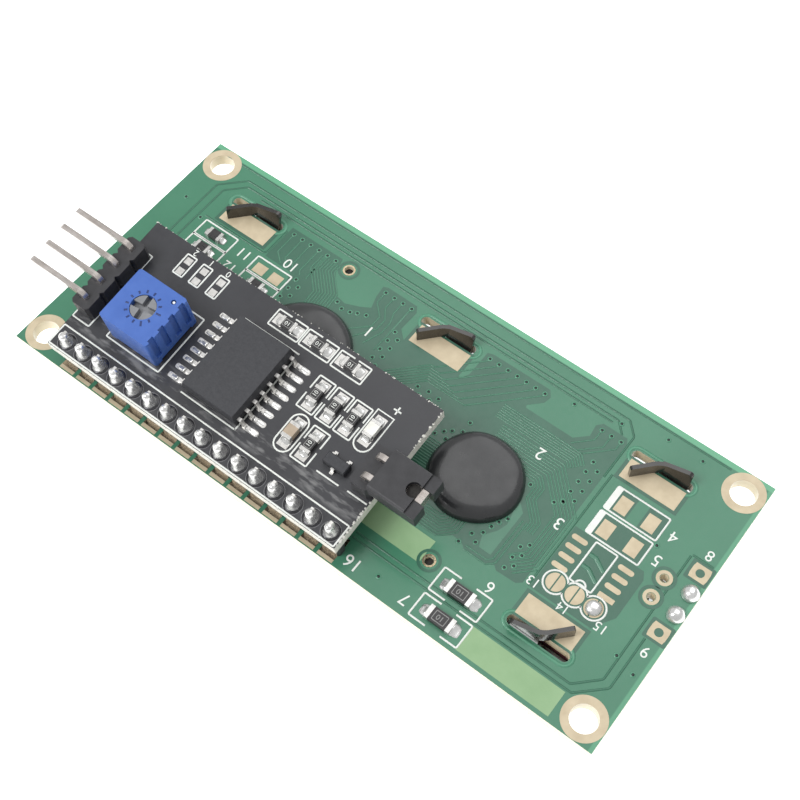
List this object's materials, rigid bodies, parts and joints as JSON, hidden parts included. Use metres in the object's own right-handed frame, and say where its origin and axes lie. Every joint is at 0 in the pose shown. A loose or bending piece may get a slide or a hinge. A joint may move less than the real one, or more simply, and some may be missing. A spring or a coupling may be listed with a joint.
{
  "type": "character display module",
  "caption": "Bare board character display seen from its wiring side, with a two-wire adapter board, contrast trimmer and backlight jumper.",
  "frame": {"origin": "centre of the four mounting holes, on the back face of the main board", "axes": "+X along the board away from the four bus pins, +Y across the board away from the row of soldered pins, +Z out of the back face; the screen faces -Z"},
  "size_m": [0.0807, 0.036, 0.0189],
  "materials": {
    "board_green": "satin solder mask over glass laminate",
    "bezel_black": "satin black coated steel sheet",
    "glass": "polished",
    "film": "smooth film",
    "zebra_rubber": "matte",
    "tray_white": "moulded",
    "guide_clear": "polished",
    "epoxy_black": "satin cast epoxy",
    "silicon": "polished",
    "chip_black": "printed overglaze",
    "tin": "tinned",
    "solder": "bright solder",
    "pin_metal": "plated",
    "adapter_black": "satin solder mask over glass laminate",
    "plastic_black": "moulded",
    "package_black": "fine moulded",
    "trimmer_blue": "moulded",
    "rotor_grey": "moulded",
    "ceramic": "fired ceramic",
    "spring_brass": "rolled",
    "capacitor_tan": "fired ceramic",
    "led_white": "clear cast over white"
  },
  "bodies": {
    "module": {"main_board": "board_green", "bezel": "bezel_black", "front_polarizer": "film", "front_glass": "glass", "rear_glass": "glass", "rear_polarizer": "film", "diffuser_film": "film", "zebra_strips": "zebra_rubber", "backlight_tray": "tray_white", "light_guide": "guide_clear", "backlight_led": "led_white", "backlight_leads": "tin", "controller_dies": "silicon", "epoxy_blobs": "epoxy_black", "small_resistor_bodies": "chip_black", "small_resistor_ends": "tin", "large_resistor_bodies": "chip_black", "large_resistor_ends": "tin", "backlight_solder": "solder", "option_solder": "solder", "row_header_strip": "plastic_black", "row_header_pins": "pin_metal", "row_solder_back": "solder", "row_solder_front": "solder", "adapter_board": "adapter_black", "underside_solder": "solder", "expander_body": "package_black", "expander_leads": "tin", "trimmer_housing": "trimmer_blue", "trimmer_element": "ceramic", "trimmer_pins": "tin", "bus_header_block": "plastic_black", "bus_header_pins": "pin_metal", "jumper_header_block": "plastic_black", "jumper_header_pins": "pin_metal", "adapter_resistor_bodies": "chip_black", "adapter_resistor_ends": "tin", "capacitor_body": "capacitor_tan", "capacitor_ends": "tin", "power_led_body": "led_white", "power_led_ends": "tin", "transistor_body": "package_black", "transistor_leads": "tin"},
    "trimmer_turn": {"trimmer_rotor": "rotor_grey", "trimmer_wiper": "spring_brass"},
    "jumper": {"jumper_cap": "plastic_black", "jumper_clip": "spring_brass"}
  },
  "joints": [
    {"name": "trimmer_turn", "type": "hinge", "parent": "module", "child": "trimmer_turn", "pos_m": [-0.02505, -0.00975, 0.00947], "axis": [0, -0.1132, 0.9936], "range_deg": [-130, 130]},
    {"name": "jumper_pull", "type": "slide", "parent": "module", "child": "jumper", "axis": [1, 0, 0], "range_m": [0, 0.0045]}
  ]
}
